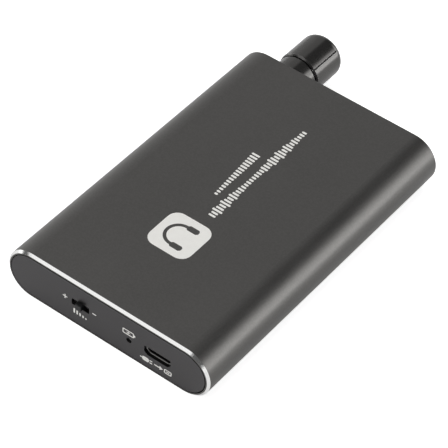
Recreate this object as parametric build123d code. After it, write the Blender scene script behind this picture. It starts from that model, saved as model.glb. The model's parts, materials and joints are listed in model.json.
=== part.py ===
from build123d import *
from math import cos, radians, sin, sqrt
import os

# Pocket headphone amplifier, millimetres. +X runs across the width, +Y along the length from
# the charging end to the knob end, and +Z is up. The origin is the centre of the bottom face.

# Housing: a flat tube with half-round sides, closed by a plate at each end
BODY_WIDTH = 57.0
BODY_LENGTH = 89.2
BODY_HEIGHT = 13.7
WALL = 1.8
EDGE_CUT = 0.56
RIM = 0.9
PANEL_THICKNESS = 1.0
PANEL_RECESS = 0.04
PANEL_GAP = 0.25
PANEL_BEVEL = 0.03
PANEL_SIT = 0.1
HOLE_PLAY = 0.1
FILM = 0.1

HALF_LENGTH = BODY_LENGTH / 2
MID_Z = BODY_HEIGHT / 2
PANEL_FACE = HALF_LENGTH - PANEL_RECESS
PANEL_BACK = PANEL_FACE - PANEL_THICKNESS
SEAT = PANEL_BACK - FILM

# Circuit board, held by its long edges in grooves of the tube
BOARD_WIDTH = 51.0
BOARD_LENGTH = 86.0
BOARD_TOP = 4.85
BOARD_THICKNESS = 1.6
BOARD_BOTTOM = BOARD_TOP - BOARD_THICKNESS
GROOVE_PLAY = 0.06
RIB_REACH = 4.2
RIB_LIP = 0.9

# Micro-USB socket
USB_X = 14.35
USB_CUTOUT = (7.4, 2.6)
USB_SHELL = (7.3, 2.3)
USB_MOUTH = (6.9, 1.9)
USB_CUTOUT_CORNER = 0.85
USB_SHELL_CORNER = 0.95
USB_MOUTH_CORNER = 0.8
USB_LIP = 0.15
USB_Z = BOARD_TOP + USB_SHELL[1] / 2
USB_LENGTH = 5.2
USB_SUNK = 0.75
USB_FRONT = -PANEL_FACE + USB_SUNK
USB_TONGUE = (3.8, 0.6)
USB_TONGUE_RECESS = 0.5
USB_PLUG_DEPTH = 3.7
TONGUE_Z = USB_Z + 0.5
USB_PITCH = 0.65
USB_CONTACT = (0.24, 0.1)
USB_CONTACT_SUNK = 0.7
USB_CONTACT_TAIL = 0.3
USB_CONTACT_FOOT = 0.7
LOW_CORNER_SHARE = 0.9
HIGH_CORNER_SHARE = 0.5
USB_FOOT = (0.95, 0.9, 0.25)
USB_FOOT_PLACES = (1.6, 4.0)

# Gain slide switch
GAIN_X = -7.4
GAIN_Z = 7.3
GAIN_TRAVEL = 1.0
GAIN_SLOT = (5.05, 1.9)
GAIN_SLOT_Z = GAIN_Z - 0.15
GAIN_SLOT_ROUND = 0.3
TAB = (1.7, 1.4)
TAB_PROUD = 1.0
TAB_ROUND = 0.18
TAB_PLAY = 0.15
SWITCH_SIZE = (8.6, 3.5, 3.7)
SWITCH_SHEET = 0.3
SWITCH_FRONT = -PANEL_BACK + 0.1
SWITCH_BASE_TOP = BOARD_TOP + 0.7
SWITCH_PIN_PITCH = 2.5
SWITCH_ROW_GAP = 1.6
SWITCH_PIN_RADIUS = 0.3
SWITCH_PIN_HOLE = 0.45
SWITCH_PIN_TAIL = 0.8
CONTACT = (1.9, 0.9, 0.12)
SLIDER_WIDTH = 4.6
SLIDER_BOTTOM = BOARD_TOP + 1.25
SLIDER_PLAY = 0.1
SHOE = (3.4, 0.6, 0.12)
SHOE_STEM = (0.8, 0.5)
RUNNING_GAP = 0.03

# Lamps behind small holes in the panels
LAMP_Z = 5.76
LAMP_HOLE_RADIUS = 0.75
LAMP_SIZE = (3.0, 1.4, 1.35)
CHARGE_LAMP_X = 6.4
POWER_LAMP_X = -3.5
PIPE_SUNK = 0.7
PIPE_PLAY = 0.03
PIPE_FLANGE = 0.3
PIPE_FLANGE_RADIUS = 1.1

# Volume control and knob, both about the same axis along Y
KNOB_X = -15.95
KNOB_RADIUS = 5.85
KNOB_BASE = HALF_LENGTH + 0.7
KNOB_TIP = HALF_LENGTH + 16.45
KNOB_ROUND = 2.15
KNOB_HOLLOW_RADIUS = 4.95
KNOB_HOLLOW_DEPTH = 3.1
COLLAR_RADIUS = 5.5
COLLAR_END = HALF_LENGTH + 4.65
NECK_RADIUS = 4.9
BARREL_START = HALF_LENGTH + 5.05
BARREL_LIP = 0.32
POINTER_ANGLE = 42.0
POINTER_WIDTH = 0.32
POINTER_DEPTH = 0.55
POINTER_BREAK = 0.07
POINTER_END = 1.7
SHAFT_RADIUS = 3.0
SHAFT_FLAT = 1.5
SHAFT_BREAK = 0.4
SHAFT_END = KNOB_BASE + 11.6
FLAT_START = KNOB_BASE + 3.6
BUSH_RADIUS = 3.5
BUSH_BREAK = 0.3
BUSH_BORE = SHAFT_RADIUS + 0.04
BUSH_END = PANEL_FACE + 2.7
THREAD_PITCH = 0.75
THREAD_DEPTH = 0.3
THREAD_WIDTH = 0.3
POT_WIDTH = 9.7
POT_HEIGHT = 9.9
POT_CORNER = 0.6
POT_DEPTH = 6.5
POT_CAVITY_RADIUS = 4.3
BUSH_PLATE = 1.0
POT_FRONT = PANEL_BACK
POT_PLATE_BACK = POT_FRONT - BUSH_PLATE
POT_BACK = POT_FRONT - POT_DEPTH
POT_FLOOR = POT_BACK + 0.8
WAFER = 0.6
WIPER_RADIUS = 3.9
WIPER_BACK = POT_PLATE_BACK - 1.25
CARRIER_BACK = WIPER_BACK - 1.6
FINGER_RADIUS = 0.45
FINGER_PLACE = 2.9
POT_PIN = (0.9, 2.4, 0.25)
POT_PIN_PITCH = 1.6
NOTCH_PLAY = 0.2
NUT_ACROSS_FLATS = 9.0
NUT_CORNER_RADIUS = 4.8
NUT_THICKNESS = 1.6
WASHER = 0.4
WASHER_RADIUS = 5.0
SCREW_RADIUS = 1.5
SCREW_Y = KNOB_BASE + 8.2
SCREW_SUNK = 0.7
SCREW_SOCKET_RADIUS = 0.87
SCREW_SOCKET_DEPTH = 1.4

# 3.5 mm sockets
PHONES_X = 17.4
INPUT_X = 5.4
JACK_SIZE = (6.4, 12.0, 5.0)
JACK_Z = BOARD_TOP + JACK_SIZE[2] / 2
PLUG_BORE = 1.8
SPRING_GAP = 0.2
SPRING_SHEET = 0.25
SPRING_WIDTH = 0.8
SPRING_HEIGHT = 1.0
SPRING_SLOT = 2.0
SPRING_PLAY = 0.1
SPRING_FOOT = 0.85
SLEEVE_RADIUS = 2.2
FLANGE_RADIUS = 2.9
SLEEVE_END = PANEL_FACE + 0.3
SLEEVE_START = PANEL_BACK - 3.1
JACK_BACK = PANEL_BACK - JACK_SIZE[1]
SPRING_PLACES = [(-1, JACK_BACK + 1.0), (1, JACK_BACK + 3.6), (-1, JACK_BACK + 6.2)]

# Battery
CELL = (34.0, 42.0, 5.0)
CELL_ROUND = 2.2
CELL_Y = -14.0
PAD = 0.4
PAD_INSET = (6.0, 8.0)
CELL_BOTTOM = BOARD_TOP + PAD
CELL_MIDDLE = CELL_BOTTOM + CELL[2] / 2
CELL_END = CELL_Y + CELL[1] / 2
SEAL_LENGTH = 3.6
SEAL_END = CELL_END + SEAL_LENGTH
HALF_SEAL = 0.2
PROTECTION_BOARD = (28.0, 3.2, 0.8)
PROTECTION_TOP = CELL_MIDDLE + HALF_SEAL + PROTECTION_BOARD[2]
NICKEL = 0.15
NICKEL_WIDTH = 4.0
NICKEL_PLACES = (-10.5, 10.5)

# Battery leads with their plug and header
LEAD_RADIUS = 0.6
LEAD_SPACING = 2.0
LEAD_Z = BOARD_TOP + 2.1
LEAD_SHIFT = 1.5
LEAD_BOW = 1.2
LEAD_RISE = 1.0
HEADER = (6.2, 5.4, 4.2)
HEADER_WALL = 0.6
HEADER_PLACE = (-8.0, 22.0)
HEADER_FRONT = HEADER_PLACE[1] - HEADER[1] / 2
HEADER_BACK = HEADER_PLACE[1] + HEADER[1] / 2
PIN_HALF = 0.25
PIN_FRONT = HEADER_FRONT + 1.4
PLUG_PLAY = 0.05
PLUG_PROUD = 1.4

# Small parts on the board: places of their centres, and sizes across, along and up
ELECTROLYTIC_PLACES = [(3.2, 15.8), (11.6, 15.8), (20.0, 15.8)]
ELECTROLYTIC_BASE = (6.6, 6.6, 0.9)
ELECTROLYTIC_RADIUS = 3.15
ELECTROLYTIC_HEIGHT = 5.6
ELECTROLYTIC_ROUND = 0.5
OP_AMP_PLACES = [(5.0, 26.2), (16.0, 26.2)]
OP_AMP = (4.0, 5.0, 1.5)
OP_AMP_PITCH = 1.27
CONVERTER_PLACE = (-18.5, 28.0)
CONVERTER = (3.0, 3.0, 0.9)
CONVERTER_PITCH = 0.65
CHARGER_PLACE = (20.6, -32.0)
CHARGER = (3.0, 3.6, 1.1)
CHARGER_PITCH = 0.95
INDUCTOR_PLACE = (-18.5, 20.5)
INDUCTOR = (5.0, 5.0, 2.2)
INDUCTOR_CORNER = 0.8
RESISTOR = (1.6, 0.8, 0.45)
RESISTOR_PITCH = 1.6
RESISTOR_COLUMNS = [((10.6, 22.0), 5), ((20.6, -26.0), 6), ((-12.4, 26.0), 4)]
CAPACITOR = (2.0, 1.25, 1.1)
CAPACITOR_PITCH = 2.2
CAPACITOR_COLUMNS = [((22.0, 20.5), 4), ((20.6, -14.0), 3), ((-23.0, 24.0), 3)]
CHIP_LIFT = 0.15
CHIP_BREAK = 0.2
CHIP_LEAD = 0.2
CHIP_LEAD_ROOT = 0.3
CHIP_LEAD_REACH = 0.4
CHIP_LEAD_TOE = 1.0
CHIP_LEAD_SHARE = 0.32

# Common allowances
CLOSE = 0.02
EDGE_BREAK = 0.15


def lengthwise(sketch, x, z, y0, y1):
    """Solid from y0 to y1 whose section is the sketch, drawn with its own x along X and y along Z."""
    plane = Plane(origin=(x, y1, z), x_dir=(1, 0, 0), z_dir=(0, -1, 0))
    return extrude(plane * sketch, amount=y1 - y0)


def block(x0, x1, y0, y1, z0, z1):
    """Box between two opposite corners."""
    centre = Pos((x0 + x1) / 2, (y0 + y1) / 2, (z0 + z1) / 2)
    return centre * Box(x1 - x0, y1 - y0, z1 - z0)


def span(x, side, near, far):
    """Two X values, lower first, at distances near and far from x on one side of it."""
    return sorted((x + side * near, x + side * far))


def chip(x, y, width, length, height, z=BOARD_TOP):
    """Box centred on (x, y) that stands on height z."""
    return block(x - width / 2, x + width / 2, y - length / 2, y + length / 2, z, z + height)


def upright(radius, x, y, z0, z1):
    """Cylinder along Z."""
    return Pos(x, y, (z0 + z1) / 2) * Cylinder(radius, z1 - z0)


def rod(radius, x, z, y0, y1):
    """Cylinder along Y."""
    return lengthwise(Circle(radius), x, z, y0, y1)


def ring(outer, inner, x, z, y0, y1):
    """Tube along Y."""
    return rod(outer, x, z, y0, y1) - rod(inner, x, z, y0, y1)


def slab(inset, y0, y1):
    """The housing's outline, drawn in by inset on every side, from y0 to y1."""
    outline = SlotOverall(BODY_WIDTH - 2 * inset, BODY_HEIGHT - 2 * inset)
    return lengthwise(outline, 0, MID_Z, y0, y1)


def end_edges(solid, last):
    """Edges of the solid's lowest face along Y, or of its highest."""
    return solid.faces().sort_by(Axis.Y)[-1 if last else 0].edges()


def housing_tube():
    shell = slab(0, -HALF_LENGTH, HALF_LENGTH)
    for last in (False, True):
        shell = chamfer(end_edges(shell, last), EDGE_CUT)
    shell -= slab(WALL, -HALF_LENGTH, HALF_LENGTH)
    for side in (-1, 1):
        reach = side * (BODY_WIDTH / 2 - RIB_REACH)
        edge = side * BODY_WIDTH / 2
        x0, x1 = sorted((reach, edge))
        rib = block(x0, x1, -SEAT, SEAT, BOARD_BOTTOM - RIB_LIP, BOARD_TOP + RIB_LIP)
        shell += rib & slab(WALL / 2, -SEAT, SEAT)
    half_groove = BOARD_WIDTH / 2 + GROOVE_PLAY
    low = BOARD_BOTTOM - GROOVE_PLAY
    high = BOARD_TOP + GROOVE_PLAY
    shell -= block(-half_groove, half_groove, -SEAT, SEAT, low, high)
    shell -= slab(RIM, -HALF_LENGTH, -SEAT)
    shell -= slab(RIM, SEAT, HALF_LENGTH)
    return shell


def panel(direction):
    """Blank end plate; direction is -1 at the charging end and 1 at the knob end."""
    y0, y1 = sorted((direction * PANEL_BACK, direction * PANEL_FACE))
    plate = slab(RIM + PANEL_GAP, y0, y1)
    return chamfer(end_edges(plate, direction > 0), PANEL_BEVEL)


def panel_film(direction):
    """Adhesive ring between an end plate and the tube's seat."""
    y0, y1 = sorted((direction * SEAT, direction * PANEL_BACK))
    return slab(RIM + PANEL_GAP, y0, y1) - slab(WALL, y0, y1)


def usb_outline(width, height, corner):
    """Micro-B outline: flat wide top, lower corners cut away."""
    half = width / 2
    top = height / 2
    points = [
        (-half, top),
        (-half, corner - top),
        (corner - half, -top),
        (half - corner, -top),
        (half, corner - top),
        (half, top),
    ]
    outline = Polygon(*points, align=None)
    low = outline.vertices().sort_by(Axis.Y)[:4]
    outline = fillet(low, LOW_CORNER_SHARE * corner)
    high = outline.vertices().sort_by(Axis.Y)[-2:]
    return fillet(high, HIGH_CORNER_SHARE * corner)


def front_panel():
    """Plate at the charging end, set against the lower left of its recess."""
    plate = Pos(-PANEL_SIT, 0, -PANEL_SIT) * panel(-1)
    through = (-PANEL_FACE, -PANEL_BACK)
    slot = RectangleRounded(*GAIN_SLOT, GAIN_SLOT_ROUND)
    plate -= lengthwise(slot, GAIN_X, GAIN_SLOT_Z, *through)
    cutout = usb_outline(*USB_CUTOUT, USB_CUTOUT_CORNER)
    plate -= lengthwise(cutout, USB_X, USB_Z, *through)
    plate -= rod(LAMP_HOLE_RADIUS, CHARGE_LAMP_X, LAMP_Z, *through)
    return plate


def rear_panel():
    plate = panel(1)
    through = (PANEL_BACK, PANEL_FACE)
    plate -= rod(BUSH_RADIUS + HOLE_PLAY, KNOB_X, MID_Z, *through)
    plate -= rod(LAMP_HOLE_RADIUS, POWER_LAMP_X, LAMP_Z, *through)
    for x in (INPUT_X, PHONES_X):
        plate -= rod(FLANGE_RADIUS + HOLE_PLAY, x, JACK_Z, *through)
    return plate


def switch_pins():
    """Centres of the switch's six terminals."""
    middle = SWITCH_FRONT + SWITCH_SIZE[1] / 2
    rows = (middle - SWITCH_ROW_GAP / 2, middle + SWITCH_ROW_GAP / 2)
    return [(GAIN_X + i * SWITCH_PIN_PITCH, y) for i in (-1, 0, 1) for y in rows]


def main_board():
    board = block(
        -BOARD_WIDTH / 2, BOARD_WIDTH / 2, -BOARD_LENGTH / 2, BOARD_LENGTH / 2, BOARD_BOTTOM, BOARD_TOP
    )
    notch = POT_WIDTH / 2 + NOTCH_PLAY
    board -= block(
        KNOB_X - notch, KNOB_X + notch, POT_BACK - NOTCH_PLAY, HALF_LENGTH, BOARD_BOTTOM, BOARD_TOP
    )
    for x, y in switch_pins():
        board -= upright(SWITCH_PIN_HOLE, x, y, BOARD_BOTTOM, BOARD_TOP)
    return board


def usb_shell():
    """Drawn sheet shell with a flared mouth in the panel's cut-out and four feet on the board."""
    back = USB_FRONT + USB_LENGTH
    shell = lengthwise(usb_outline(*USB_SHELL, USB_SHELL_CORNER), USB_X, USB_Z, USB_FRONT, back)
    shell -= lengthwise(usb_outline(*USB_MOUTH, USB_MOUTH_CORNER), USB_X, USB_Z, USB_FRONT, back)
    mouth = shell.faces().sort_by(Axis.Y)[0].inner_wires()[0]
    shell = chamfer(mouth.edges(), USB_LIP)
    flank = (USB_SHELL[0] + USB_MOUTH[0]) / 4
    reach, length, sheet = USB_FOOT
    for side in (-1, 1):
        wall = span(USB_X, side, flank, flank + sheet)
        foot = span(USB_X, side, flank, flank + reach)
        for place in USB_FOOT_PLACES:
            y = USB_FRONT + place
            shell += block(*wall, y, y + length, BOARD_TOP, USB_Z)
            shell += block(*foot, y, y + length, BOARD_TOP, BOARD_TOP + sheet)
    return shell


def usb_contacts():
    """Five flat contacts under the tongue, bent down to the board behind the shell."""
    strips = []
    half = USB_CONTACT[0] / 2
    sheet = USB_CONTACT[1]
    under = TONGUE_Z - USB_TONGUE[1] / 2
    front = USB_FRONT + USB_CONTACT_SUNK
    back = USB_FRONT + USB_LENGTH + USB_CONTACT_TAIL
    for i in range(-2, 3):
        x = USB_X + i * USB_PITCH
        sides = (x - half, x + half)
        strip = block(*sides, front, back, under - sheet, under)
        strip += block(*sides, back - sheet, back, BOARD_TOP, under)
        strip += block(*sides, back - sheet, back + USB_CONTACT_FOOT, BOARD_TOP, BOARD_TOP + sheet)
        strips.append(strip)
    return strips


def usb_tongue():
    """Insulator: a plug of plastic at the back of the shell with the tongue in front of it."""
    plug_front = USB_FRONT + USB_PLUG_DEPTH
    width, height = (size - 2 * CLOSE for size in USB_MOUTH)
    mouth = usb_outline(width, height, USB_MOUTH_CORNER)
    tongue = lengthwise(mouth, USB_X, USB_Z, plug_front, USB_FRONT + USB_LENGTH)
    shelf = Rectangle(*USB_TONGUE)
    tongue += lengthwise(shelf, USB_X, TONGUE_Z, USB_FRONT + USB_TONGUE_RECESS, plug_front + CLOSE)
    for strip in usb_contacts():
        tongue -= strip
    return tongue


def switch_frame():
    """Folded sheet cover, open below, with a window for the tab."""
    width, depth, height = SWITCH_SIZE
    front = SWITCH_FRONT
    middle = front + depth / 2
    cover = chip(GAIN_X, middle, width, depth, height)
    cover -= chip(
        GAIN_X, middle, width - 2 * SWITCH_SHEET, depth - 2 * SWITCH_SHEET, height - SWITCH_SHEET
    )
    window = Rectangle(TAB[0] + 2 * (GAIN_TRAVEL + TAB_PLAY), TAB[1] + TAB_PLAY)
    return cover - lengthwise(window, GAIN_X, GAIN_Z, front, front + SWITCH_SHEET)


def switch_base():
    width, depth, _ = SWITCH_SIZE
    edge = 2 * (SWITCH_SHEET + CLOSE)
    base = chip(
        GAIN_X, SWITCH_FRONT + depth / 2, width - edge, depth - edge, SWITCH_BASE_TOP - BOARD_TOP
    )
    for x, y in switch_pins():
        base -= upright(SWITCH_PIN_RADIUS + CLOSE, x, y, BOARD_TOP, SWITCH_BASE_TOP)
    return base


def switch_terminals():
    """Six pins through the board, each with a flat contact on top of the base."""
    pins = []
    bottom = BOARD_BOTTOM - SWITCH_PIN_TAIL
    for x, y in switch_pins():
        pin = upright(SWITCH_PIN_RADIUS, x, y, bottom, SWITCH_BASE_TOP + CONTACT[2] / 2)
        pins.append(pin + chip(x, y, *CONTACT, SWITCH_BASE_TOP))
    return pins


def switch_actuator():
    """Sliding block with the tab that stands out of the front panel."""
    _, depth, height = SWITCH_SIZE
    edge = SWITCH_SHEET + SLIDER_PLAY
    front = SWITCH_FRONT + edge
    half = SLIDER_WIDTH / 2
    top = BOARD_TOP + height - edge
    slider = block(GAIN_X - half, GAIN_X + half, front, SWITCH_FRONT + depth - edge, SLIDER_BOTTOM, top)
    tab = lengthwise(Rectangle(*TAB), GAIN_X, GAIN_Z, -PANEL_FACE - TAB_PROUD, front + SLIDER_PLAY)
    tab = fillet(end_edges(tab, False), TAB_ROUND)
    return slider + tab


def switch_bridge():
    """Two sprung shoes carried under the slider, one for each row of terminals."""
    rows = sorted({y for _, y in switch_pins()})
    shoes = []
    low = SWITCH_BASE_TOP + CONTACT[2] + RUNNING_GAP
    for y in rows:
        shoe = chip(GAIN_X, y, *SHOE, low)
        shoe += chip(GAIN_X, y, *SHOE_STEM, SLIDER_BOTTOM - low, low)
        shoes.append(shoe)
    return shoes


def lamp(x, direction):
    """Side-firing lamp on the board's edge; direction is the way it shines along Y."""
    face = PANEL_BACK - PIPE_FLANGE
    return chip(x, direction * (face - LAMP_SIZE[1] / 2), *LAMP_SIZE)


def light_pipe(x, direction):
    """Clear rod in the panel's hole with a flange behind the panel."""
    tip = direction * (PANEL_FACE - PIPE_SUNK)
    root = direction * PANEL_BACK
    back = direction * (PANEL_BACK - PIPE_FLANGE)
    pipe = rod(LAMP_HOLE_RADIUS - PIPE_PLAY, x, LAMP_Z, *sorted((tip, back)))
    return pipe + rod(PIPE_FLANGE_RADIUS, x, LAMP_Z, *sorted((root, back)))


def radial(angle, radius):
    """Point at a radius from the knob's axis; the angle turns from +X towards +Z."""
    return KNOB_X + radius * cos(radians(angle)), MID_Z + radius * sin(radians(angle))


def along_radius(angle, y, start):
    """Plane whose normal points out from the knob's axis at the angle, start away from it."""
    x, z = radial(angle, start)
    out = (cos(radians(angle)), 0, sin(radians(angle)))
    return Plane(origin=(x, y, z), x_dir=(0, 1, 0), z_dir=out)


def pointer_groove():
    """Cutter for the pointer line: a straight groove along the barrel with broken edges."""
    start = BARREL_START - EDGE_BREAK
    length = KNOB_TIP - POINTER_END - start
    middle = start + length / 2
    floor = along_radius(POINTER_ANGLE, middle, KNOB_RADIUS - POINTER_DEPTH)
    groove = extrude(floor * Rectangle(length, POINTER_WIDTH), amount=KNOB_RADIUS)
    half = POINTER_WIDTH / 2
    brim = radial_reach(half) - POINTER_BREAK
    flare = along_radius(POINTER_ANGLE, middle, brim)
    wide = extrude(flare * Rectangle(length, POINTER_WIDTH), amount=2 * POINTER_BREAK, taper=-45)
    return groove + wide


def radial_reach(offset):
    """Height of the barrel's surface above its axis at a sideways offset."""
    return sqrt(KNOB_RADIUS**2 - offset**2)


def knob():
    """Barrel with a rounded tip on a narrower collar, bored for the shaft and hollow over the nut."""
    body = rod(KNOB_RADIUS, KNOB_X, MID_Z, BARREL_START, KNOB_TIP)
    body = fillet(end_edges(body, True), KNOB_ROUND)
    body = chamfer(end_edges(body, False), BARREL_LIP)
    collar = rod(COLLAR_RADIUS, KNOB_X, MID_Z, KNOB_BASE, COLLAR_END)
    collar = chamfer(end_edges(collar, True), EDGE_BREAK)
    body += chamfer(end_edges(collar, False), EDGE_BREAK)
    body += rod(NECK_RADIUS, KNOB_X, MID_Z, KNOB_BASE, BARREL_START + BARREL_LIP)
    hollow_top = KNOB_BASE + KNOB_HOLLOW_DEPTH
    body -= rod(KNOB_HOLLOW_RADIUS, KNOB_X, MID_Z, KNOB_BASE, hollow_top)
    body -= rod(SHAFT_RADIUS + CLOSE, KNOB_X, MID_Z, hollow_top, SHAFT_END + SHAFT_BREAK)
    body -= pointer_groove()
    screw_hole = along_radius(POINTER_ANGLE + 180, SCREW_Y, SHAFT_FLAT) * Circle(SCREW_RADIUS + CLOSE)
    body -= extrude(screw_hole, amount=KNOB_RADIUS)
    return body


def knob_set_screw():
    """Headless screw opposite the pointer line, with a hexagon socket in its outer end."""
    opposite = POINTER_ANGLE + 180
    length = KNOB_RADIUS - SCREW_SUNK - SHAFT_FLAT
    inner_end = along_radius(opposite, SCREW_Y, SHAFT_FLAT + CLOSE)
    screw = extrude(inner_end * Circle(SCREW_RADIUS), amount=length)
    floor = along_radius(opposite, SCREW_Y, SHAFT_FLAT + length - SCREW_SOCKET_DEPTH)
    socket = RegularPolygon(SCREW_SOCKET_RADIUS, 6)
    return screw - extrude(floor * socket, amount=2 * SCREW_SOCKET_DEPTH)


def pot_shaft():
    """Shaft with a head behind the bush plate and a flat for the set screw."""
    shaft = rod(SHAFT_RADIUS, KNOB_X, MID_Z, WIPER_BACK, SHAFT_END)
    shaft = chamfer(end_edges(shaft, True), SHAFT_BREAK)
    shaft += rod(WIPER_RADIUS, KNOB_X, MID_Z, WIPER_BACK, POT_PLATE_BACK - RUNNING_GAP)
    plane = along_radius(POINTER_ANGLE + 180, (SHAFT_END + FLAT_START) / 2, SHAFT_FLAT)
    flat = Rectangle(SHAFT_END - FLAT_START, 2 * SHAFT_RADIUS)
    return shaft - extrude(plane * flat, amount=SHAFT_RADIUS)


def pot_wiper_carrier():
    return rod(WIPER_RADIUS, KNOB_X, MID_Z, CARRIER_BACK, WIPER_BACK)


def pot_wiper_contacts():
    """Two sprung fingers that reach from the carrier to the wafer."""
    fingers = []
    for angle in (POINTER_ANGLE, POINTER_ANGLE + 180):
        x, z = radial(angle, FINGER_PLACE)
        fingers.append(rod(FINGER_RADIUS, x, z, POT_FLOOR + WAFER + RUNNING_GAP, CARRIER_BACK))
    return fingers


def pot_resistive_wafer():
    return rod(POT_CAVITY_RADIUS - CLOSE, KNOB_X, MID_Z, POT_FLOOR, POT_FLOOR + WAFER)


def pot_terminals():
    """Five flat pins from the wafer's edge out of the back and on to the board."""
    width, reach, sheet = POT_PIN
    length = POT_FLOOR - POT_BACK + reach
    middle = POT_FLOOR - length / 2
    return [chip(KNOB_X + POT_PIN_PITCH * i, middle, width, length, sheet) for i in range(-2, 3)]


def pot_block(y0, y1):
    return lengthwise(RectangleRounded(POT_WIDTH, POT_HEIGHT, POT_CORNER), KNOB_X, MID_Z, y0, y1)


def pot_housing():
    can = pot_block(POT_BACK, POT_PLATE_BACK)
    can -= rod(POT_CAVITY_RADIUS, KNOB_X, MID_Z, POT_FLOOR, POT_PLATE_BACK)
    for pin in pot_terminals():
        can -= pin
    return can


def pot_bush():
    """Front plate of the volume control with its threaded bush; the thread is plain rings."""
    plate = pot_block(POT_PLATE_BACK, POT_FRONT)
    bush = rod(BUSH_RADIUS, KNOB_X, MID_Z, POT_FRONT, BUSH_END)
    bush = chamfer(end_edges(bush, True), BUSH_BREAK)
    outside = BUSH_RADIUS + THREAD_DEPTH
    root = BUSH_RADIUS - THREAD_DEPTH
    turns = int((BUSH_END - POT_FRONT) / THREAD_PITCH)
    for i in range(turns):
        start = POT_FRONT + THREAD_WIDTH + THREAD_PITCH * i
        bush -= ring(outside, root, KNOB_X, MID_Z, start, start + THREAD_WIDTH)
    return plate + bush - rod(BUSH_BORE, KNOB_X, MID_Z, POT_PLATE_BACK, BUSH_END)


def pot_washer():
    return ring(WASHER_RADIUS, BUSH_RADIUS + CLOSE, KNOB_X, MID_Z, PANEL_FACE, PANEL_FACE + WASHER)


def pot_nut():
    start = PANEL_FACE + WASHER
    hexagon = RegularPolygon(NUT_ACROSS_FLATS / 2, 6, major_radius=False)
    nut = lengthwise(hexagon, KNOB_X, MID_Z, start, start + NUT_THICKNESS)
    nut &= rod(NUT_CORNER_RADIUS, KNOB_X, MID_Z, start, start + NUT_THICKNESS)
    return nut - rod(BUSH_RADIUS + CLOSE, KNOB_X, MID_Z, start, start + NUT_THICKNESS)


def jack_contacts(x):
    """Tip, ring and sleeve springs beside the bore, each with a foot on the board."""
    springs = []
    near = PLUG_BORE + SPRING_GAP
    flank = JACK_SIZE[0] / 2
    half_sheet = SPRING_SHEET / 2
    half = SPRING_HEIGHT / 2
    for side, start in SPRING_PLACES:
        y0 = start + SPRING_PLAY
        y1 = y0 + SPRING_WIDTH
        leaf_end = start + SPRING_SLOT - SPRING_PLAY
        leaf = span(x, side, near, near + SPRING_SHEET)
        arm = span(x, side, near, flank + SPRING_SHEET)
        drop = span(x, side, flank + CLOSE, flank + SPRING_SHEET)
        foot = span(x, side, flank + CLOSE, flank + SPRING_SHEET + SPRING_FOOT)
        spring = block(*leaf, y0, leaf_end, JACK_Z - half, JACK_Z + half)
        spring += block(*arm, y0, y1, JACK_Z - half_sheet, JACK_Z + half_sheet)
        spring += block(*drop, y0, y1, BOARD_TOP, JACK_Z + half_sheet)
        spring += block(*foot, y0, y1, BOARD_TOP, BOARD_TOP + SPRING_SHEET)
        springs.append(spring)
    return springs


def jack_body(x):
    width, _, height = JACK_SIZE
    body = block(x - width / 2, x + width / 2, JACK_BACK, PANEL_BACK, BOARD_TOP, BOARD_TOP + height)
    body -= rod(PLUG_BORE, x, JACK_Z, JACK_BACK, PANEL_BACK)
    body -= rod(SLEEVE_RADIUS + CLOSE, x, JACK_Z, SLEEVE_START, PANEL_BACK)
    half = SPRING_HEIGHT / 2 + SPRING_PLAY
    for side, start in SPRING_PLACES:
        slot = span(x, side, PLUG_BORE / 2, width / 2)
        body -= block(*slot, start, start + SPRING_SLOT, JACK_Z - half, JACK_Z + half)
    return body


def jack_sleeve(x):
    """Bright metal lining of the socket, with the flange that shows in the rear panel."""
    lining = rod(SLEEVE_RADIUS, x, JACK_Z, SLEEVE_START, SLEEVE_END)
    flange = rod(FLANGE_RADIUS, x, JACK_Z, PANEL_BACK + CLOSE, SLEEVE_END)
    flange = chamfer(end_edges(flange, True), EDGE_BREAK)
    return lining + flange - rod(PLUG_BORE, x, JACK_Z, SLEEVE_START, SLEEVE_END)


def battery_cell():
    """Pouch cell with rounded long edges and a flat seal at the lead end."""
    width, length, height = CELL
    pouch = chip(0, CELL_Y, width, length, height, CELL_BOTTOM)
    pouch = fillet(pouch.edges().filter_by(Axis.Y), CELL_ROUND)
    seal = (CELL_MIDDLE - HALF_SEAL, CELL_MIDDLE + HALF_SEAL)
    return pouch + block(-width / 2, width / 2, CELL_Y, SEAL_END, *seal)


def battery_pad():
    return chip(0, CELL_Y, CELL[0] - PAD_INSET[0], CELL[1] - PAD_INSET[1], PAD)


def battery_board():
    """Protection board lying on the cell's seal."""
    width, length, height = PROTECTION_BOARD
    return chip(0, SEAL_END - length / 2, width, length, height, CELL_MIDDLE + HALF_SEAL)


def battery_tabs():
    """Two nickel tabs bent over the far edge of the protection board."""
    tabs = []
    half = NICKEL_WIDTH / 2
    top = PROTECTION_TOP + NICKEL
    end = SEAL_END + NICKEL
    for x in NICKEL_PLACES:
        tab = block(x - half, x + half, SEAL_END, end, CELL_MIDDLE - HALF_SEAL, top)
        tab += block(x - half, x + half, end - half, end, PROTECTION_TOP, top)
        tabs.append(tab)
    return tabs


def battery_header():
    """Side-entry header on the board, open towards the battery."""
    width, length, height = HEADER
    shell = chip(*HEADER_PLACE, width, length, height)
    opening = chip(
        *HEADER_PLACE, width - 2 * HEADER_WALL, length, height - 2 * HEADER_WALL, BOARD_TOP + HEADER_WALL
    )
    shell -= Pos(0, -HEADER_WALL, 0) * opening
    for pin in battery_pins():
        shell -= pin
    return shell


def battery_pins():
    pins = []
    for side in (-1, 1):
        x = HEADER_PLACE[0] + side * LEAD_SPACING / 2
        sides = (x - PIN_HALF, x + PIN_HALF)
        bend = HEADER_BACK + 2 * PIN_HALF
        pin = block(*sides, PIN_FRONT, bend, LEAD_Z - PIN_HALF, LEAD_Z + PIN_HALF)
        pin += block(*sides, HEADER_BACK, bend, BOARD_TOP, LEAD_Z)
        pins.append(pin)
    return pins


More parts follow.
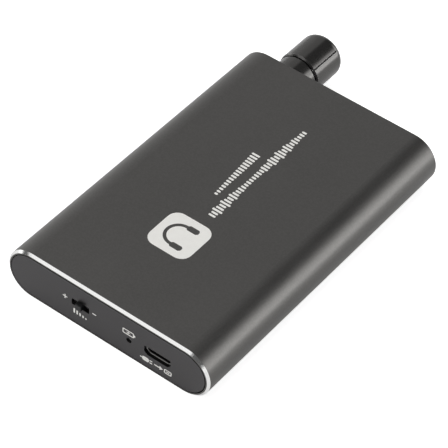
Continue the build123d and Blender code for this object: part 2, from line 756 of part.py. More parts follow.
def battery_plug():
    """Plug that fills the header's opening and stands out of it towards the battery."""
    x = HEADER_PLACE[0]
    edge = HEADER_WALL + PLUG_PLAY
    half = HEADER[0] / 2 - edge
    heights = (BOARD_TOP + edge, BOARD_TOP + HEADER[2] - edge)
    plug = block(x - half, x + half, HEADER_FRONT - PLUG_PROUD, HEADER_BACK - edge, *heights)
    for pin in battery_pins():
        plug -= pin
    return plug


def battery_lead(side):
    """Round lead from the protection board up and over to the plug."""
    x = HEADER_PLACE[0] + side * LEAD_SPACING / 2
    start_z = PROTECTION_TOP - PROTECTION_BOARD[2] / 2
    start = (x + LEAD_SHIFT, SEAL_END, start_z)
    end = (x, HEADER_FRONT - PLUG_PROUD, LEAD_Z)
    high = (x + LEAD_BOW, (start[1] + end[1]) / 2, start_z + LEAD_RISE)
    path = Spline(start, high, end, tangents=((0, 1, 0), (0, 1, 0)))
    section = Plane(origin=start, z_dir=(0, 1, 0)) * Circle(LEAD_RADIUS)
    return sweep(section, path=path)


def legged_chip(x, y, body, lead_count, pitch):
    """Moulded chip body standing on rows of bent leads along both long sides."""
    width, length, height = body
    package = chip(x, y, width, length, height, BOARD_TOP + CHIP_LIFT)
    package = chamfer(package.edges().filter_by(Axis.Y), CHIP_BREAK)
    leads = Part()
    half_lead = pitch * CHIP_LEAD_SHARE / 2
    middle = BOARD_TOP + CHIP_LIFT + height / 2
    arm_top = middle + CHIP_LEAD / 2
    outer = width / 2 + CHIP_LEAD_REACH
    for side in (-1, 1):
        arm = span(x, side, width / 2 - CHIP_LEAD_ROOT, outer)
        drop = span(x, side, outer - CHIP_LEAD, outer)
        foot = span(x, side, outer - CHIP_LEAD, width / 2 + CHIP_LEAD_TOE)
        for i in range(lead_count):
            place = y + (i - (lead_count - 1) / 2) * pitch
            across = (place - half_lead, place + half_lead)
            lead = block(*arm, *across, middle - CHIP_LEAD / 2, arm_top)
            lead += block(*drop, *across, BOARD_TOP, arm_top)
            lead += block(*foot, *across, BOARD_TOP, BOARD_TOP + CHIP_LEAD)
            leads += lead
    return package - leads, leads


def electrolytic(x, y):
    """Can capacitor on its square base."""
    base = chip(x, y, *ELECTROLYTIC_BASE)
    base_top = BOARD_TOP + ELECTROLYTIC_BASE[2]
    can = upright(ELECTROLYTIC_RADIUS, x, y, base_top, BOARD_TOP + ELECTROLYTIC_HEIGHT)
    return base, fillet(can.edges().sort_by(Axis.Z)[-1], ELECTROLYTIC_ROUND)


def inductor(x, y):
    body = chip(x, y, *INDUCTOR)
    return fillet(body.edges().filter_by(Axis.Z), INDUCTOR_CORNER)


def in_columns(columns, pitch, size):
    """Chips of one size in lines along Y; each line has its first place and its count."""
    return [chip(x, y + pitch * i, *size) for (x, y), count in columns for i in range(count)]


def group(solids):
    """Several separate solids as one node."""
    return Compound(children=list(solids))


def amplifier_nodes():
    nodes = {
        "housing_tube": housing_tube(),
        "front_panel": front_panel(),
        "rear_panel": rear_panel(),
        "front_panel_film": panel_film(-1),
        "rear_panel_film": panel_film(1),
        "main_board": main_board(),
        "usb_shell": usb_shell(),
        "usb_tongue": usb_tongue(),
        "usb_contacts": group(usb_contacts()),
        "gain_switch_frame": switch_frame(),
        "gain_switch_base": switch_base(),
        "gain_switch_terminals": group(switch_terminals()),
        "gain_switch_actuator": switch_actuator(),
        "gain_switch_bridge": group(switch_bridge()),
        "charge_lamp": lamp(CHARGE_LAMP_X, -1),
        "charge_light_pipe": light_pipe(CHARGE_LAMP_X, -1),
        "power_lamp": lamp(POWER_LAMP_X, 1),
        "power_light_pipe": light_pipe(POWER_LAMP_X, 1),
        "volume_knob": knob(),
        "knob_set_screw": knob_set_screw(),
        "pot_shaft": pot_shaft(),
        "pot_wiper_carrier": pot_wiper_carrier(),
        "pot_wiper_contacts": group(pot_wiper_contacts()),
        "pot_resistive_wafer": pot_resistive_wafer(),
        "pot_terminals": group(pot_terminals()),
        "pot_housing": pot_housing(),
        "pot_bush": pot_bush(),
        "pot_washer": pot_washer(),
        "pot_nut": pot_nut(),
        "battery_cell": battery_cell(),
        "battery_pad": battery_pad(),
        "battery_board": battery_board(),
        "battery_tabs": group(battery_tabs()),
        "battery_header": battery_header(),
        "battery_header_pins": group(battery_pins()),
        "battery_plug": battery_plug(),
        "battery_lead_red": battery_lead(-1),
        "battery_lead_black": battery_lead(1),
        "inductor": inductor(*INDUCTOR_PLACE),
        "resistors": group(in_columns(RESISTOR_COLUMNS, RESISTOR_PITCH, RESISTOR)),
        "ceramic_capacitors": group(in_columns(CAPACITOR_COLUMNS, CAPACITOR_PITCH, CAPACITOR)),
    }
    for name, x in (("phones_jack", PHONES_X), ("input_jack", INPUT_X)):
        nodes[name + "_body"] = jack_body(x)
        nodes[name + "_sleeve"] = jack_sleeve(x)
        nodes[name + "_contacts"] = group(jack_contacts(x))
    chips = {
        "op_amp": [legged_chip(x, y, OP_AMP, 4, OP_AMP_PITCH) for x, y in OP_AMP_PLACES],
        "supply_converter": [legged_chip(*CONVERTER_PLACE, CONVERTER, 4, CONVERTER_PITCH)],
        "charger": [legged_chip(*CHARGER_PLACE, CHARGER, 3, CHARGER_PITCH)],
    }
    for name, made in chips.items():
        nodes[name + "_chip"] = group(package for package, _ in made)
        nodes[name + "_leads"] = group(solid for _, leads in made for solid in leads.solids())
    cans = [electrolytic(x, y) for x, y in ELECTROLYTIC_PLACES]
    nodes["electrolytic_bases"] = group(base for base, _ in cans)
    nodes["electrolytic_cans"] = group(can for _, can in cans)
    return nodes


os.makedirs("parts", exist_ok=True)
for node_name, shape in amplifier_nodes().items():
    export_step(shape, f"parts/{node_name}.step")
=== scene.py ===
import json
import math

import bpy
from mathutils import Matrix, Vector


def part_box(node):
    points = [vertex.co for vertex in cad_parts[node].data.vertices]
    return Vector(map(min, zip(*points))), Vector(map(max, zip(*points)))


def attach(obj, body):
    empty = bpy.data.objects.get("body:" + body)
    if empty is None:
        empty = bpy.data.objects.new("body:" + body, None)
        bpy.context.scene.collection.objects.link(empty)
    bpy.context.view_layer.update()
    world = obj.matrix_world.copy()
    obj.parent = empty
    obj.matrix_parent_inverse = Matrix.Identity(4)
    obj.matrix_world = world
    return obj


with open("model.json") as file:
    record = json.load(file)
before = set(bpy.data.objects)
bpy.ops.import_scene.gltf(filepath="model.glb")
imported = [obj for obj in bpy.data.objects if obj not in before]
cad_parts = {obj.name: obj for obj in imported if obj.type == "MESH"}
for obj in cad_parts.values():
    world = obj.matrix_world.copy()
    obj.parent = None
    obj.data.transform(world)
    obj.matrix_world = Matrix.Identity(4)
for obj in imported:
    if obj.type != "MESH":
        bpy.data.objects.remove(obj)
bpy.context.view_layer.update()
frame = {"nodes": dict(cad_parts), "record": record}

MM = 0.001
NODES = frame["nodes"]

# Places read from the frame, in metres
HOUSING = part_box("housing_tube")
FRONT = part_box("front_panel")
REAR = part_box("rear_panel")
TOP = HOUSING[1].z
HALF_LENGTH = HOUSING[1].y
FRONT_FACE = FRONT[0].y
REAR_FACE = REAR[1].y


def middle(node):
    """Centre of a node's box."""
    low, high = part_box(node)
    return (low + high) / 2


# ---------------------------------------------------------------- shader helpers

class Nodes:
    """A node tree. Keyword arguments set an input, or link it when given a socket."""

    def __init__(self, owner):
        owner.use_nodes = True
        self.tree = owner.node_tree
        self.tree.nodes.clear()

    def add(self, kind, settings=None, **inputs):
        node = self.tree.nodes.new("ShaderNode" + kind)
        for key, value in (settings or {}).items():
            setattr(node, key, value)
        for key, value in inputs.items():
            self.put(node.inputs[key.replace("_", " ")], value)
        return node

    def put(self, socket, value):
        if isinstance(value, bpy.types.NodeSocket):
            self.tree.links.new(value, socket)
        else:
            socket.default_value = value

    def math(self, operation, first, second=0.0):
        node = self.add("Math", {"operation": operation})
        self.put(node.inputs[0], first)
        self.put(node.inputs[1], second)
        return node.outputs[0]

    def vector(self, operation, first, second=None, scale=None):
        node = self.add("VectorMath", {"operation": operation})
        self.put(node.inputs[0], first)
        if second is not None:
            self.put(node.inputs[1], second)
        if scale is not None:
            self.put(node.inputs["Scale"], scale)
        return node.outputs["Value" if operation == "DOT_PRODUCT" else "Vector"]

    def axis(self, letter, vector):
        """One coordinate of a vector."""
        return self.add("SeparateXYZ", Vector=vector).outputs[letter]

    def ramp(self, value, low, high):
        """0 at low, 1 at high and smooth between them; low may be the larger one."""
        node = self.add("MapRange", {"interpolation_type": "SMOOTHSTEP"}, Value=value)
        self.put(node.inputs["From Min"], low)
        self.put(node.inputs["From Max"], high)
        return node.outputs["Result"]

    def lerp(self, factor, first, second):
        """Number that goes from first to second as factor goes from 0 to 1."""
        node = self.add("Mix", {"data_type": "FLOAT"})
        self.put(node.inputs["Factor"], factor)
        self.put(node.inputs["A"], first)
        self.put(node.inputs["B"], second)
        return node.outputs["Result"]


class Shader(Nodes):
    """One material, with its places in millimetres from the object's origin."""

    def __init__(self, name):
        self.material = bpy.data.materials.new(name)
        super().__init__(self.material)
        coordinates = self.add("TexCoord").outputs["Object"]
        self.mm = self.vector("SCALE", coordinates, scale=1 / MM)

    def noise(self, size_mm, detail=3.0, stretch=(1, 1, 1), seed=0.0):
        """Noise between 0 and 1 with features of about size_mm, drawn out along an axis by stretch."""
        place = self.vector("MULTIPLY", self.mm, tuple(1 / s for s in stretch))
        place = self.vector("ADD", place, (seed, seed, seed))
        node = self.add("TexNoise", Vector=place, Scale=1 / size_mm, Detail=detail)
        return node.outputs["Fac"]

    def shade(self, value, colour, spread):
        """Colour made lighter and darker by spread as value goes from 0 to 1."""
        low = [c * (1 - spread) for c in colour]
        high = [c * (1 + spread) for c in colour]
        return self.mix(value, low, high)

    def mix(self, factor, first, second):
        """Colour that goes from first to second as factor goes from 0 to 1."""
        node = self.add("Mix", {"data_type": "RGBA"})
        self.put(node.inputs["Factor"], factor)
        for socket, value in ((node.inputs["A"], first), (node.inputs["B"], second)):
            self.put(socket, value if isinstance(value, bpy.types.NodeSocket) else (*value[:3], 1.0))
        return node.outputs["Result"]

    def uneven(self, value, centre, spread):
        """Number that goes from half a spread below centre to half above as value goes from 0 to 1."""
        return self.math("ADD", self.math("MULTIPLY", value, spread), centre - spread / 2)

    def bump(self, height, depth_mm, normal=None):
        """Surface normal of a relief of depth_mm, laid over another normal when one is given."""
        node = self.add("Bump", Height=height, Strength=1.0, Distance=depth_mm * MM)
        if normal is not None:
            self.put(node.inputs["Normal"], normal)
        return node.outputs["Normal"]

    def edges(self, radius_mm):
        """1 on sharp edges within the radius, 0 on flat faces."""
        softened = self.add("Bevel", {"samples": 6}, Radius=radius_mm * MM).outputs["Normal"]
        flat = self.add("NewGeometry").outputs["Normal"]
        return self.ramp(self.vector("DOT_PRODUCT", softened, flat), 0.995, 0.9)

    def finish(self, **inputs):
        """Material whose surface has these inputs."""
        surface = self.add("BsdfPrincipled", **inputs)
        output = self.add("OutputMaterial")
        self.tree.links.new(surface.outputs[0], output.inputs["Surface"])
        return self.material


# ---------------------------------------------------------------- materials

BRIGHT_ALUMINIUM = (0.93, 0.93, 0.92)
HOUSING_BLACK = (0.125, 0.122, 0.118)
BEAD_GREY = (0.158, 0.154, 0.149)
PANEL_BLACK = (0.081, 0.078, 0.080)
PANEL_GRAIN = (0.11, 0.108, 0.11)
# Panel edge colour: partly wear, partly painted highlight
PANEL_EDGE_WEAR_AND_HIGHLIGHT = (0.3, 0.3, 0.3)
KNOB_BLACK = (0.100, 0.098, 0.095)
# Knob edge colour: partly wear, partly painted highlight on the groove edges
KNOB_EDGE_WEAR_AND_HIGHLIGHT = (0.5, 0.5, 0.49)
PIPE_TINT = (0.7, 0.73, 0.75)
MASK_GREEN = (0.012, 0.085, 0.035)
WEAVE_GREEN = (0.018, 0.11, 0.05)
INK_WHITE = (0.955, 0.945, 0.905)
FOIL_GREY = (0.68, 0.69, 0.70)
FLOOR_WHITE = (0.86, 0.86, 0.86)

# Sloping faces this near to an end of the tube are bright; the finish changes over CUT_EDGE, in mm
CUT_REACH = 0.62
CUT_EDGE = 0.05


def housing_anodised():
    """Bead-blasted black anodised tube with bright-cut edges at both ends."""
    s = Shader("housing_anodised")
    beads = s.noise(0.18, detail=2.0)
    ripple = s.noise(0.42, detail=2.0, seed=5.0)
    cloud = s.noise(16.0, detail=3.0, seed=11.0)
    length = s.math("ABSOLUTE", s.axis("Y", s.mm))
    slope = s.math("ABSOLUTE", s.axis("Y", s.add("NewGeometry").outputs["True Normal"]))
    cut_start = HALF_LENGTH / MM - CUT_REACH
    near_end = s.ramp(length, cut_start, cut_start + CUT_EDGE)
    on_cut = s.math("MULTIPLY", s.ramp(slope, 0.3, 0.4), s.ramp(slope, 0.95, 0.85))
    cut = s.math("MULTIPLY", near_end, on_cut)
    colour = s.shade(cloud, HOUSING_BLACK, 0.05)
    colour = s.mix(s.math("MULTIPLY", s.ramp(ripple, 0.38, 0.62), 0.3), colour, BEAD_GREY)
    roughness = s.uneven(cloud, 0.37, 0.06)
    normal = s.bump(beads, 0.0125)
    normal = s.bump(ripple, 0.011, normal)
    lines = s.noise(0.05, stretch=(1, 40, 1))
    return s.finish(
        Base_Color=s.mix(cut, colour, BRIGHT_ALUMINIUM),
        Metallic=s.lerp(cut, 0.95, 1.0),
        Roughness=s.lerp(cut, roughness, s.uneven(lines, 0.14, 0.08)),
        Normal=normal,
    )


def panel_anodised():
    """Satin black anodised plate with a faint brushed grain across its width."""
    s = Shader("panel_anodised")
    grain = s.noise(0.09, detail=3.0, stretch=(26, 1, 1))
    cloud = s.noise(9.0, detail=3.0, seed=3.0)
    # Edges painted lighter: partly wear, partly painted highlight
    edge_wear_and_highlight = s.math("MULTIPLY", s.edges(0.12), 0.5)
    colour = s.mix(s.math("MULTIPLY", grain, 0.12), s.shade(cloud, PANEL_BLACK, 0.05), PANEL_GRAIN)
    return s.finish(
        Base_Color=s.mix(edge_wear_and_highlight, colour, PANEL_EDGE_WEAR_AND_HIGHLIGHT),
        Metallic=0.93,
        Roughness=s.uneven(cloud, 0.31, 0.08),
        Normal=s.bump(grain, 0.0018),
    )


def knob_anodised():
    """Glossy dark anodised knob with fine turned rings, its groove edges painted lighter as wear and as
    painted highlight.
    """
    s = Shader("knob_anodised")
    rings = s.noise(0.07, detail=2.0, stretch=(60, 1, 60))
    cloud = s.noise(5.0, detail=2.0, seed=7.0)
    # Edges painted lighter: partly wear, partly painted highlight
    edge_wear_and_highlight = s.math("MULTIPLY", s.edges(0.14), 0.75)
    return s.finish(
        Base_Color=s.mix(edge_wear_and_highlight, s.shade(cloud, KNOB_BLACK, 0.07), KNOB_EDGE_WEAR_AND_HIGHLIGHT),
        Metallic=0.9,
        Roughness=s.uneven(rings, 0.21, 0.08),
        Normal=s.bump(rings, 0.0015),
    )


def metal(name, colour, roughness, grain_mm, stretch=(1, 1, 1), depth_mm=0.002):
    """Plated or drawn metal with a grain, uneven sheen, and edges painted lighter as wear and as painted
    highlight.
    """
    s = Shader(name)
    grain = s.noise(grain_mm, detail=3.0, stretch=stretch)
    cloud = s.noise(3.0, detail=2.0, seed=2.0)
    # Edges painted lighter: partly wear, partly painted highlight
    edge_wear_and_highlight = s.math("MULTIPLY", s.edges(0.08), 0.4)
    bright = [min(1.0, c * 1.25) for c in colour]
    return s.finish(
        Base_Color=s.mix(edge_wear_and_highlight, s.shade(cloud, colour, 0.07), bright),
        Metallic=1.0,
        Roughness=s.uneven(grain, roughness, 0.16),
        Normal=s.bump(grain, depth_mm),
    )


def moulded(name, colour, roughness, grain_mm=0.12, depth_mm=0.004):
    """Moulded plastic with a fine spark-eroded grain."""
    s = Shader(name)
    grain = s.noise(grain_mm, detail=3.0)
    cloud = s.noise(2.5, detail=2.0, seed=4.0)
    # Edges painted paler: partly wear, partly painted highlight
    edge_wear_and_highlight = s.math("MULTIPLY", s.edges(0.08), 0.35)
    pale = [min(1.0, c * 1.5 + 0.02) for c in colour]
    return s.finish(
        Base_Color=s.mix(edge_wear_and_highlight, s.shade(cloud, colour, 0.1), pale),
        Roughness=s.uneven(grain, roughness, 0.14),
        Normal=s.bump(grain, depth_mm),
    )


def clear_pipe():
    """Clear lamp pipe, slightly frosted inside."""
    s = Shader("light_pipe_clear")
    cloud = s.noise(0.6, detail=3.0)
    return s.finish(
        Base_Color=s.shade(cloud, PIPE_TINT, 0.08),
        Roughness=s.uneven(cloud, 0.13, 0.1),
        Transmission_Weight=0.85,
        IOR=1.49,
    )


def board_laminate():
    """Green solder mask with a woven glass print-through."""
    s = Shader("board_laminate")
    across, along = (s.math("SINE", s.math("MULTIPLY", s.axis(letter, s.mm), 11.0)) for letter in "XY")
    weave = s.uneven(s.math("MULTIPLY", across, along), 0.75, 0.5)
    cloud = s.noise(6.0)
    return s.finish(
        Base_Color=s.mix(weave, s.shade(cloud, MASK_GREEN, 0.15), WEAVE_GREEN),
        Roughness=s.uneven(cloud, 0.33, 0.1),
        Normal=s.bump(weave, 0.004),
        Coat_Weight=0.4,
    )


def white_ink():
    """Screen-printed off-white ink, a little uneven and slightly raised."""
    s = Shader("white_ink")
    grain = s.noise(0.08, detail=2.0)
    cloud = s.noise(1.6, detail=3.0, seed=9.0)
    return s.finish(
        Base_Color=s.shade(cloud, INK_WHITE, 0.03),
        Roughness=s.uneven(grain, 0.495, 0.15),
        Normal=s.bump(grain, 0.003),
    )


def cell_pouch():
    """Laminated foil of the battery pouch, gently creased."""
    s = Shader("cell_pouch")
    crease = s.noise(2.2, detail=4.0, stretch=(1, 3, 1))
    return s.finish(
        Base_Color=s.shade(crease, FOIL_GREY, 0.05),
        Metallic=1.0,
        Roughness=s.uneven(crease, 0.35, 0.2),
        Normal=s.bump(crease, 0.05),
    )


def slot_materials():
    """Material of every slot that the record names."""
    return {
        "housing_anodised": housing_anodised(),
        "panel_anodised": panel_anodised(),
        "knob_anodised": knob_anodised(),
        "plated_steel": metal("plated_steel", (0.60, 0.59, 0.57), 0.3, 0.1, (8, 1, 1)),
        "usb_plating": metal("usb_plating", (0.20, 0.195, 0.19), 0.34, 0.1, (8, 1, 1)),
        "gold_contacts": metal("gold_contacts", (0.85, 0.60, 0.25), 0.22, 0.08),
        "tinned_terminals": metal("tinned_terminals", (0.66, 0.66, 0.64), 0.38, 0.12),
        "black_steel": metal("black_steel", (0.06, 0.06, 0.06), 0.4, 0.1),
        "shaft_aluminium": metal("shaft_aluminium", (0.78, 0.78, 0.79), 0.25, 0.06, (50, 1, 50)),
        "bush_brass": metal("bush_brass", (0.70, 0.66, 0.56), 0.28, 0.08, (50, 1, 50)),
        "nut_brass": metal("nut_brass", (0.72, 0.69, 0.60), 0.26, 0.08),
        "nickel_tabs": metal("nickel_tabs", (0.66, 0.64, 0.60), 0.33, 0.1, (1, 9, 1)),
        "socket_metal": metal("socket_metal", (0.78, 0.77, 0.75), 0.16, 0.05, (40, 1, 40)),
        "can_aluminium": metal("can_aluminium", (0.80, 0.80, 0.80), 0.3, 0.08, (1, 1, 20)),
        "switch_plastic": moulded("switch_plastic", (0.006, 0.006, 0.007), 0.4),
        "black_insulator": moulded("black_insulator", (0.016, 0.016, 0.017), 0.45),
        "pot_case": moulded("pot_case", (0.02, 0.02, 0.02), 0.5),
        "white_plastic": moulded("white_plastic", (0.76, 0.74, 0.69), 0.45),
        "lamp_body": moulded("lamp_body", (0.80, 0.79, 0.74), 0.4),
        "chip_epoxy": moulded("chip_epoxy", (0.02, 0.02, 0.021), 0.55, 0.06, 0.006),
        "ferrite": moulded("ferrite", (0.06, 0.06, 0.062), 0.6, 0.08, 0.01),
        "resistor_body": moulded("resistor_body", (0.02, 0.02, 0.025), 0.35),
        "ceramic_tan": moulded("ceramic_tan", (0.38, 0.25, 0.14), 0.5),
        "wafer_laminate": moulded("wafer_laminate", (0.16, 0.08, 0.03), 0.5),
        "adhesive_film": moulded("adhesive_film", (0.015, 0.015, 0.015), 0.6),
        "foam_pad": moulded("foam_pad", (0.05, 0.05, 0.05), 0.85, 0.2, 0.03),
        "lead_red": moulded("lead_red", (0.5, 0.015, 0.012), 0.4),
        "lead_black": moulded("lead_black", (0.015, 0.015, 0.015), 0.4),
        "light_pipe_clear": clear_pipe(),
        "board_laminate": board_laminate(),
        "cell_pouch": cell_pouch(),
    }


def paint_cad_nodes():
    """Gives every node the material of its slot."""
    made = slot_materials()
    for entry in frame["record"]["subparts"]:
        node = NODES[entry["node"]]
        node.data.materials.clear()
        node.data.materials.append(made[entry["material_slot"]])


# ---------------------------------------------------------------- printed marks

INK_HEIGHT = 0.02 * MM
INK = white_ink()
INK_SHOWN = 0.45
CORNER_SHARE = 0.45


def arc(centre, radius, start, stop, steps=10):
    """Points on an arc, angles in degrees."""
    angles = [math.radians(start + (stop - start) * i / steps) for i in range(steps + 1)]
    return [(centre[0] + radius * math.cos(a), centre[1] + radius * math.sin(a)) for a in angles]


def rounded(centre, width, height, radius):
    """Outline of a rounded rectangle."""
    points = []
    for sx, sy, start in ((1, 1, 0), (-1, 1, 90), (-1, -1, 180), (1, -1, 270)):
        corner = (centre[0] + sx * (width / 2 - radius), centre[1] + sy * (height / 2 - radius))
        points += arc(corner, radius, start, start + 90, 6)
    return points


def printed(name, outlines, origin, right, up):
    """Thin raised ink. Outlines are in millimetres along right and up, and one inside another is a hole."""
    curve = bpy.data.curves.new(name, "CURVE")
    curve.dimensions = "2D"
    curve.fill_mode = "BOTH"
    curve.extrude = INK_HEIGHT / 2
    for outline in outlines:
        spline = curve.splines.new("POLY")
        spline.points.add(len(outline) - 1)
        for point, (u, v) in zip(spline.points, outline):
            point.co = (u * MM, v * MM, 0, 1)
        spline.use_cyclic_u = True
    flat = bpy.data.objects.new(name + "_outline", curve)
    bpy.context.scene.collection.objects.link(flat)
    bpy.context.view_layer.update()
    mesh = bpy.data.meshes.new_from_object(flat.evaluated_get(bpy.context.evaluated_depsgraph_get()))
    bpy.data.objects.remove(flat)
    out = Vector(right).cross(Vector(up))
    turn = Matrix((Vector(right), Vector(up), out)).transposed().to_4x4()
    mesh.transform(Matrix.Translation(Vector(origin) + out * INK_HEIGHT * INK_SHOWN) @ turn)
    mesh.name = name
    mesh.materials.clear()
    mesh.materials.append(INK)
    piece = bpy.data.objects.new(name, mesh)
    bpy.context.scene.collection.objects.link(piece)
    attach(piece, "chassis")
    return piece


def bar(u, v, width, height):
    """Outline of a bar with nearly round ends."""
    return rounded((u, v), width, height, min(width, height) * CORNER_SHARE)


def plus(u, v, size, stroke):
    """Outline of a plus sign."""
    a, b = size / 2, stroke / 2
    corners = [(a, -b), (a, b), (b, b), (b, a), (-b, a), (-b, b), (-a, b), (-a, -b), (-b, -b)]
    corners += [(-b, -a), (b, -a), (b, -b)]
    return [(u + du, v + dv) for du, dv in corners]


def arrow(u, v, length, stroke, head, half_head):
    """Outline of an arrow that points along u, from its tail at u."""
    neck = u + length - head
    half = stroke / 2
    shaft = [(u, v + half), (u, v - half), (neck, v - half)]
    return shaft + [(neck, v - half_head), (u + length, v), (neck, v + half_head), (neck, v + half)]


def headphones(centre, width, stroke):
    """Outline of a generic pair of headphones: a band over two ear cups."""
    cx, cy = centre
    outer = width / 2 - stroke * 0.4
    inner = outer - stroke
    cup_width = stroke * 1.9
    cup_height = width * 0.4
    shoulder = cy
    bottom = shoulder - cup_height
    corner = stroke * 0.5
    points = arc((cx, shoulder), outer, 0, 180, 28)
    for side in (-1, 1):
        edge = cx + side * (outer - stroke * 0.5)
        out = edge + side * cup_width * 0.5
        into = edge - side * cup_width * 0.5
        cup = [(out, shoulder - corner), (out, bottom + corner), (out - side * corner, bottom)]
        cup += [(into + side * corner, bottom), (into, bottom + corner), (into, shoulder - corner)]
        cup += [(into + side * corner, shoulder)]
        if side < 0:
            points += cup + arc((cx, shoulder), inner, 180, 0, 28)
        else:
            points += list(reversed(cup))
    return points


# Prints on the top, in millimetres along the length and across it towards the left side
BADGE = (-18.4, 0.35)
BADGE_SIZE = (12.1, 11.7)
BADGE_CORNER = 2.8
BADGE_GLYPH = (8.0, 0.85)
GLYPH_RISE = 0.2
BAR = 0.6
RAMP_START = -2.4
RAMP_END = 13.8
RAMP_FOOT = 1.75
RAMP_HEIGHTS = (0.9, 2.25)
RAMP_BARS = 17
WAVE_START = -8.6
WAVE_END = 27.3
WAVE_MIDDLE = -1.35
WAVE_HEIGHTS = (1.1, 2.9)
WAVE_BARS = 37


def top_print(name, outlines):
    """Print on the top that reads along the length, with its upper side towards -X."""
    return printed(name, outlines, (0, 0, TOP), (0, 1, 0), (-1, 0, 0))


def top_badge():
    """Tile with a pair of headphones left clear in it."""
    tile = rounded(BADGE, *BADGE_SIZE, BADGE_CORNER)
    glyph = headphones((BADGE[0], BADGE[1] + GLYPH_RISE), *BADGE_GLYPH)
    return top_print("top_badge_print", [tile, glyph])


def top_ramp():
    """Row of bars that grow from quiet to loud."""
    lowest, highest = RAMP_HEIGHTS
    bars = []
    for i in range(RAMP_BARS):
        share = i / (RAMP_BARS - 1)
        height = lowest + (highest - lowest) * share
        bars.append(bar(RAMP_START + (RAMP_END - RAMP_START) * share, RAMP_FOOT + height / 2, BAR, height))
    return top_print("top_ramp_print", bars)


def top_wave():
    """Row of bars in the shape of a sound wave, fast ripples inside a slow swell."""
    lowest, highest = WAVE_HEIGHTS
    bars = []
    for i in range(WAVE_BARS):
        share = i / (WAVE_BARS - 1)
        swell = 0.55 + 0.45 * math.sin(math.pi * 3.3 * share + 0.4)
        height = lowest + (highest - lowest) * abs(math.sin(2.1 * i + 0.6)) * swell
        bars.append(bar(WAVE_START + (WAVE_END - WAVE_START) * share, WAVE_MIDDLE, BAR, height))
    return top_print("top_wave_print", bars)


def front_print(name, outlines):
    """Print on the charging end, read from in front."""
    return printed(name, outlines, (0, FRONT_FACE, 0), (1, 0, 0), (0, 0, 1))


def gain_marks():
    """Plus and minus at the ends of the switch, and steps that grow towards the plus."""
    x, _, z = middle("gain_switch_actuator") / MM
    front_print("high_gain_print", [plus(x - 4.4, z + 0.275, 1.3, 0.3)])
    front_print("low_gain_print", [bar(x + 3.95, z + 0.075, 1.15, 0.32)])
    foot = z - 3.325
    heights = [0.5 + 0.25 * i for i in range(5)]
    steps = [bar(x + 1.65 - 0.84 * i, foot + high / 2, 0.44, high) for i, high in enumerate(heights)]
    front_print("gain_scale_print", steps)


def charge_mark():
    """Battery with a lightning bolt, over the charge lamp."""
    lamp = middle("charge_light_pipe") / MM
    x, z = lamp.x - 0.25, lamp.z + 2.29
    case = [rounded((x, z), 3.2, 1.5, 0.3), rounded((x, z), 2.62, 0.92, 0.1), bar(x + 1.8, z, 0.32, 0.7)]
    corners = [(-0.65, -0.1), (0.35, 0.39), (0.2, 0.07), (0.7, 0.1), (-0.35, -0.39), (-0.15, -0.07)]
    front_print("charge_print", case + [[(x + du, z + dv) for du, dv in corners]])


def power_mark():
    """Plug, arrow and battery, under the USB opening."""
    x, _, z = middle("usb_shell") / MM
    z -= 2.9
    plug = [bar(x - 3.15, z, 2.0, 1.3), bar(x - 4.45, z, 0.5, 0.4)]
    plug += [bar(x - 1.65, z + side * 0.35, 0.8, 0.32) for side in (-1, 1)]
    battery_x = x + 3.05
    case = [rounded((battery_x, z), 2.1, 1.35, 0.35), rounded((battery_x, z), 1.55, 0.8, 0.15)]
    charge = bar(battery_x, z, 0.95, 0.3)
    front_print("power_print", plug + case + [charge, arrow(x - 0.75, z, 2.5, 0.34, 1.0, 0.6)])


def rear_print(name, outlines):
    """Print on the knob end, read from behind."""
    return printed(name, outlines, (0, REAR_FACE, 0), (-1, 0, 0), (0, 0, 1))


def rear_marks():
    """Headphones beside their socket, and an arrow into a line beside the other."""
    phones = middle("phones_jack_sleeve") / MM
    source = middle("input_jack_sleeve") / MM
    rear_print("phones_print", [headphones((-phones.x - 4.4, phones.z - 0.1), 2.0, 0.24)])
    u, v = -source.x - 4.2, source.z
    rear_print("input_print", [arrow(u - 0.9, v, 1.65, 0.24, 0.65, 0.45), bar(u + 1.0, v, 0.22, 1.2)])


# ---------------------------------------------------------------- stage, lights and camera

# The floor glows a little, more for the camera than for the object, so its shadows stay faint
FLOOR_GLOW = 0.16
FLOOR_GLOW_SEEN = 0.75
FLOOR_HALF = 4.0
FLOOR_GAP = 0.02 * MM
BACKDROP = 1.0
ROOM_GLOW = 0.1
SOFT_EDGE = 3.0

# The view is from the front right and above, through a long lens; angles are in degrees
VIEW_AZIMUTH = 33.84
VIEW_ELEVATION = 45.33
VIEW_ROLL = 4.71
VIEW_DISTANCE = 543.06 * MM
VIEW_TARGET = Vector((-2.487, 2.262, 0)) * MM
FOCAL_LENGTH = 186.3
FILM_WIDTH = 36.0


def floor_material():
    """White paper sweep."""
    s = Shader("floor_white")
    cloud = s.noise(60.0)
    seen = s.add("LightPath").outputs["Is Camera Ray"]
    return s.finish(
        Base_Color=s.shade(cloud, FLOOR_WHITE, 0.005),
        Roughness=0.9,
        Emission_Color=(1, 1, 1, 1),
        Emission_Strength=s.lerp(seen, FLOOR_GLOW, FLOOR_GLOW_SEEN),
    )


def make_floor():
    """Square of paper just under the object."""
    mesh = bpy.data.meshes.new("floor")
    corners = [(x * FLOOR_HALF, y * FLOOR_HALF, 0) for x, y in ((-1, -1), (1, -1), (1, 1), (-1, 1))]
    mesh.from_pydata(corners, [], [(0, 1, 2, 3)])
    mesh.materials.append(floor_material())
    floor = bpy.data.objects.new("floor", mesh)
    floor.location.z = HOUSING[0].z - FLOOR_GAP
    bpy.context.scene.collection.objects.link(floor)


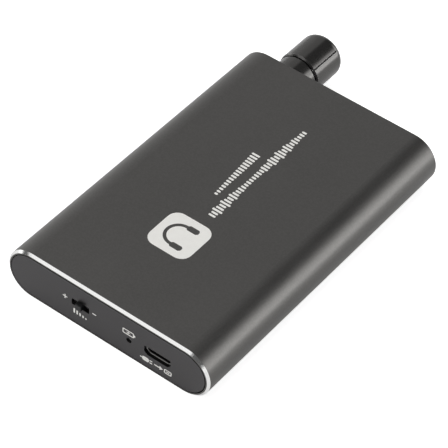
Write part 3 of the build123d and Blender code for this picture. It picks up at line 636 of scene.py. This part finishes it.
def softbox(n, way, azimuth, elevation, wide, high, radiance):
    """Brightness of a far softbox seen in the direction way; its place and size are in degrees."""
    turn = math.radians(azimuth)
    ahead = n.vector("DOT_PRODUCT", way, (math.cos(turn), math.sin(turn), 0))
    aside = n.vector("DOT_PRODUCT", way, (-math.sin(turn), math.cos(turn), 0))
    swing = n.math("ABSOLUTE", n.math("DEGREES", n.math("ARCTAN2", aside, ahead)))
    rise = n.math("SUBTRACT", n.math("DEGREES", n.math("ARCSINE", n.axis("Z", way))), elevation)
    across = n.ramp(swing, wide / 2 + SOFT_EDGE, wide / 2 - SOFT_EDGE)
    upward = n.ramp(n.math("ABSOLUTE", rise), high / 2 + SOFT_EDGE, high / 2 - SOFT_EDGE)
    return n.math("MULTIPLY", n.math("MULTIPLY", across, upward), radiance)


def make_lights():
    """Ring of far softboxes around the table; azimuth turns from +X towards +Y."""
    world = bpy.data.worlds.new("studio")
    bpy.context.scene.world = world
    n = Nodes(world)
    way = n.add("TexCoord").outputs["Generated"]
    boxes = [
        softbox(n, way, azimuth=45, elevation=14, wide=60, high=30, radiance=2.3),
        softbox(n, way, azimuth=42, elevation=4, wide=54, high=14, radiance=1.6),
        softbox(n, way, azimuth=132, elevation=15, wide=54, high=32, radiance=0.52),
        softbox(n, way, azimuth=183, elevation=24, wide=46, high=48, radiance=1.8),
        softbox(n, way, azimuth=246, elevation=36, wide=41, high=24, radiance=0.85),
        softbox(n, way, azimuth=235, elevation=58, wide=100, high=18, radiance=0.9),
        softbox(n, way, azimuth=144, elevation=45, wide=78, high=28, radiance=0.41),
        softbox(n, way, azimuth=0, elevation=39, wide=44, high=18, radiance=1.2),
        softbox(n, way, azimuth=290, elevation=4, wide=170, high=12, radiance=0.9),
        softbox(n, way, azimuth=0, elevation=90, wide=400, high=36, radiance=2.35),
    ]
    glow = ROOM_GLOW
    for box in boxes:
        glow = n.math("ADD", glow, box)
    seen = n.add("LightPath").outputs["Is Camera Ray"]
    backdrop = n.add("Background", Color=(1, 1, 1, 1), Strength=n.lerp(seen, glow, BACKDROP))
    output = n.add("OutputWorld")
    n.tree.links.new(backdrop.outputs[0], output.inputs["Surface"])


def make_camera():
    """Camera that looks at the target, rolled a little about its line of sight."""
    azimuth, elevation, roll = (math.radians(a) for a in (VIEW_AZIMUTH, VIEW_ELEVATION, VIEW_ROLL))
    reach = math.cos(elevation)
    back = Vector((math.sin(azimuth) * reach, -math.cos(azimuth) * reach, math.sin(elevation)))
    level = Vector((math.cos(azimuth), math.sin(azimuth), 0))
    upward = back.cross(level)
    right = math.cos(roll) * level + math.sin(roll) * upward
    up = math.cos(roll) * upward - math.sin(roll) * level
    turn = Matrix((right, up, back)).transposed().to_4x4()
    lens = bpy.data.cameras.new("camera")
    lens.lens = FOCAL_LENGTH
    lens.sensor_width = FILM_WIDTH
    lens.clip_start = 0.01
    lens.clip_end = 20.0
    camera = bpy.data.objects.new("camera", lens)
    camera.matrix_world = Matrix.Translation(VIEW_TARGET + back * VIEW_DISTANCE) @ turn
    bpy.context.scene.collection.objects.link(camera)
    bpy.context.scene.camera = camera


paint_cad_nodes()
top_badge()
top_ramp()
top_wave()
gain_marks()
charge_mark()
power_mark()
rear_marks()
make_floor()
make_lights()
make_camera()
bpy.context.scene.view_settings.view_transform = "Standard"
